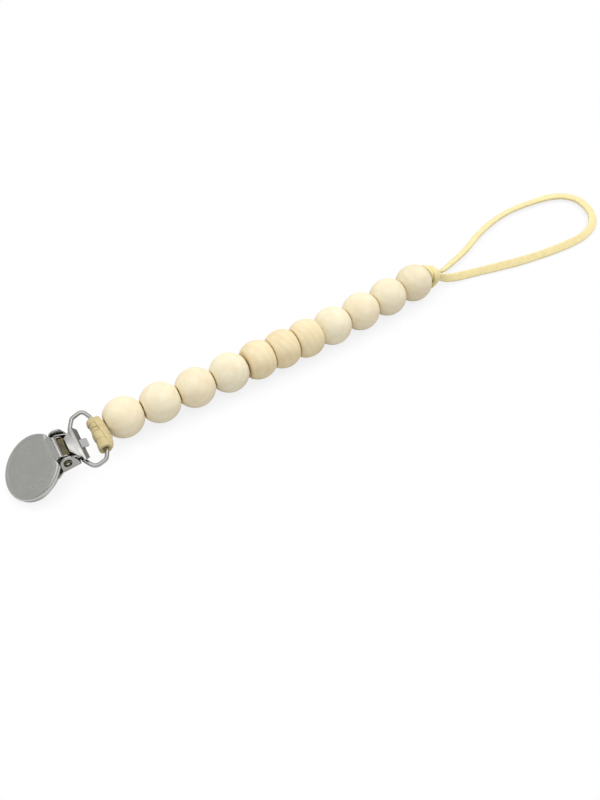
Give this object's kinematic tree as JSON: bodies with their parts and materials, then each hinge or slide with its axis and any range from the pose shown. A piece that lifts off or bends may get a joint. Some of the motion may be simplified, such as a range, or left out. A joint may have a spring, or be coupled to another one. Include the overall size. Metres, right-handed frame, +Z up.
{
  "type": "pacifier chain",
  "caption": "Pacifier chain: a sprung metal clip with a round face, a wire ring, wooden beads on a flat cord, and a cord loop that holds the pacifier.",
  "frame": {"origin": "centre of the bounding box of the chain without its loop, on the table it lies on", "axes": "+X along the chain from the clip to the loop, +Z up from the table, +Y across the chain away from the clip's near ear"},
  "size_m": [0.3022, 0.0398, 0.0172],
  "materials": {
    "clip_steel": "stamped sheet steel, satin nickel finish with bright bends",
    "face_steel": "satin grey steel with faint scuffs",
    "pin_steel": "riveted steel pin, dark round its dished head",
    "pad_plastic": "pale translucent plastic, matt",
    "ring_wire": "bright plated wire",
    "pale_wood": "pale unfinished wood, sanded smooth",
    "tan_wood": "slightly darker unfinished wood, sanded smooth",
    "hitch_suede": "khaki beige flat suede cord, matt",
    "loop_suede": "pale yellow beige flat suede cord, matt"
  },
  "bodies": {
    "clip_base": {"base_plate": "clip_steel", "grip_pad": "pad_plastic", "pivot_pin": "pin_steel"},
    "lever": {"flip_lever": "clip_steel"},
    "front_jaw": {"front_jaw": "clip_steel", "face_cap": "face_steel"},
    "ring": {"ring": "ring_wire"},
    "hitch": {"ring_hitch": "hitch_suede"},
    "link_1": {"cord_link_1": "hitch_suede"},
    "bead_1": {"bead_1": "pale_wood"},
    "link_2": {"cord_link_2": "hitch_suede"},
    "bead_2": {"bead_2": "pale_wood"},
    "link_3": {"cord_link_3": "hitch_suede"},
    "bead_3": {"bead_3": "pale_wood"},
    "link_4": {"cord_link_4": "hitch_suede"},
    "bead_4": {"bead_4": "pale_wood"},
    "link_5": {"cord_link_5": "hitch_suede"},
    "bead_5": {"bead_5": "tan_wood"},
    "link_6": {"cord_link_6": "hitch_suede"},
    "bead_6": {"bead_6": "tan_wood"},
    "link_7": {"cord_link_7": "hitch_suede"},
    "bead_7": {"bead_7": "tan_wood"},
    "link_8": {"cord_link_8": "hitch_suede"},
    "bead_8": {"bead_8": "pale_wood"},
    "link_9": {"cord_link_9": "hitch_suede"},
    "bead_9": {"bead_9": "pale_wood"},
    "link_10": {"cord_link_10": "hitch_suede"},
    "bead_10": {"bead_10": "pale_wood"},
    "link_11": {"cord_link_11": "hitch_suede"},
    "bead_11": {"bead_11": "pale_wood"},
    "knot": {"loop_knot": "loop_suede", "loop_cord": "loop_suede"}
  },
  "joints": [
    {"name": "lever_flip", "type": "hinge", "parent": "clip_base", "child": "lever", "pos_m": [-0.07904, -0.00201, 0.0134], "axis": [-0.0686, -0.9923, -0.1029], "range_deg": [0, 68]},
    {"name": "jaw_open", "type": "hinge", "parent": "clip_base", "child": "front_jaw", "pos_m": [-0.07904, -0.00201, 0.0134], "axis": [0.0686, 0.9923, 0.1029], "range_deg": [0, 12.3]},
    {"name": "ring_swing", "type": "hinge", "parent": "clip_base", "child": "ring", "pos_m": [-0.07311, 0.0004, 0.01043], "axis": [-0.0686, -0.9923, -0.1029], "range_deg": [-80, 15]},
    {"name": "hitch_swing", "type": "hinge", "parent": "ring", "child": "hitch", "pos_m": [-0.0641, -0.0001, 0.00924], "axis": [-0.0686, -0.9923, -0.1029], "range_deg": [-45, 45]},
    {"name": "bend_1", "type": "hinge", "parent": "hitch", "child": "link_1", "pos_m": [-0.05995, 0.0046, 0.008], "axis": [0, 0, 1], "range_deg": [-6, 6]},
    {"name": "spin_1", "type": "hinge", "parent": "link_1", "child": "bead_1", "pos_m": [-0.0524, 0.004, 0.008], "axis": [0.9969, -0.0792, 0], "continuous": true},
    {"name": "bend_2", "type": "hinge", "parent": "link_1", "child": "link_2", "pos_m": [-0.04485, 0.0034, 0.008], "axis": [0, 0, 1], "range_deg": [-4, 4]},
    {"name": "spin_2", "type": "hinge", "parent": "link_2", "child": "bead_2", "pos_m": [-0.0373, 0.00305, 0.008], "axis": [0.9989, -0.0466, 0], "continuous": true},
    {"name": "bend_3", "type": "hinge", "parent": "link_2", "child": "link_3", "pos_m": [-0.02975, 0.0027, 0.008], "axis": [0, 0, 1], "range_deg": [-4, 4]},
    {"name": "spin_3", "type": "hinge", "parent": "link_3", "child": "bead_3", "pos_m": [-0.0222, 0.00245, 0.008], "axis": [0.9995, -0.0328, 0], "continuous": true},
    {"name": "bend_4", "type": "hinge", "parent": "link_3", "child": "link_4", "pos_m": [-0.01465, 0.0022, 0.008], "axis": [0, 0, 1], "range_deg": [-4, 4]},
    {"name": "spin_4", "type": "hinge", "parent": "link_4", "child": "bead_4", "pos_m": [-0.0071, 0.00208, 0.008], "axis": [0.9999, -0.017, 0], "continuous": true},
    {"name": "bend_5", "type": "hinge", "parent": "link_4", "child": "link_5", "pos_m": [0.00045, 0.00195, 0.008], "axis": [0, 0, 1], "range_deg": [-4, 4]},
    {"name": "spin_5", "type": "hinge", "parent": "link_5", "child": "bead_5", "pos_m": [0.00623, 0.00187, 0.008], "axis": [0.9999, -0.0125, 0], "continuous": true},
    {"name": "bend_6", "type": "hinge", "parent": "link_5", "child": "link_6", "pos_m": [0.012, 0.0018, 0.008], "axis": [0, 0, 1], "range_deg": [-3, 3]},
    {"name": "spin_6", "type": "hinge", "parent": "link_6", "child": "bead_6", "pos_m": [0.01778, 0.00165, 0.008], "axis": [0.9997, -0.0263, 0], "continuous": true},
    {"name": "bend_7", "type": "hinge", "parent": "link_6", "child": "link_7", "pos_m": [0.02355, 0.0015, 0.008], "axis": [0, 0, 1], "range_deg": [-3, 3]},
    {"name": "spin_7", "type": "hinge", "parent": "link_7", "child": "bead_7", "pos_m": [0.02933, 0.00143, 0.008], "axis": [0.9999, -0.0125, 0], "continuous": true},
    {"name": "bend_8", "type": "hinge", "parent": "link_7", "child": "link_8", "pos_m": [0.0351, 0.00136, 0.008], "axis": [0, 0, 1], "range_deg": [-3, 3]},
    {"name": "spin_8", "type": "hinge", "parent": "link_8", "child": "bead_8", "pos_m": [0.04265, 0.00158, 0.008], "axis": [0.9996, 0.0297, 0], "continuous": true},
    {"name": "bend_9", "type": "hinge", "parent": "link_8", "child": "link_9", "pos_m": [0.0502, 0.0018, 0.008], "axis": [0, 0, 1], "range_deg": [-4, 4]},
    {"name": "spin_9", "type": "hinge", "parent": "link_9", "child": "bead_9", "pos_m": [0.05775, 0.00225, 0.008], "axis": [0.9982, 0.0592, 0], "continuous": true},
    {"name": "bend_10", "type": "hinge", "parent": "link_9", "child": "link_10", "pos_m": [0.0653, 0.0027, 0.008], "axis": [0, 0, 1], "range_deg": [-4, 4]},
    {"name": "spin_10", "type": "hinge", "parent": "link_10", "child": "bead_10", "pos_m": [0.07285, 0.00323, 0.008], "axis": [0.9976, 0.0698, 0], "continuous": true},
    {"name": "bend_11", "type": "hinge", "parent": "link_10", "child": "link_11", "pos_m": [0.0804, 0.00376, 0.008], "axis": [0, 0, 1], "range_deg": [-4, 4]},
    {"name": "spin_11", "type": "hinge", "parent": "link_11", "child": "bead_11", "pos_m": [0.08795, 0.0043, 0.008], "axis": [0.9974, 0.0719, 0], "continuous": true},
    {"name": "knot_bend", "type": "hinge", "parent": "link_11", "child": "knot", "pos_m": [0.0955, 0.00484, 0.008], "axis": [0, 0, 1], "range_deg": [-7, 7]}
  ],
  "couplings": [
    {"joint": "lever_flip", "follows": "jaw_open", "ratio": 5.5}
  ]
}
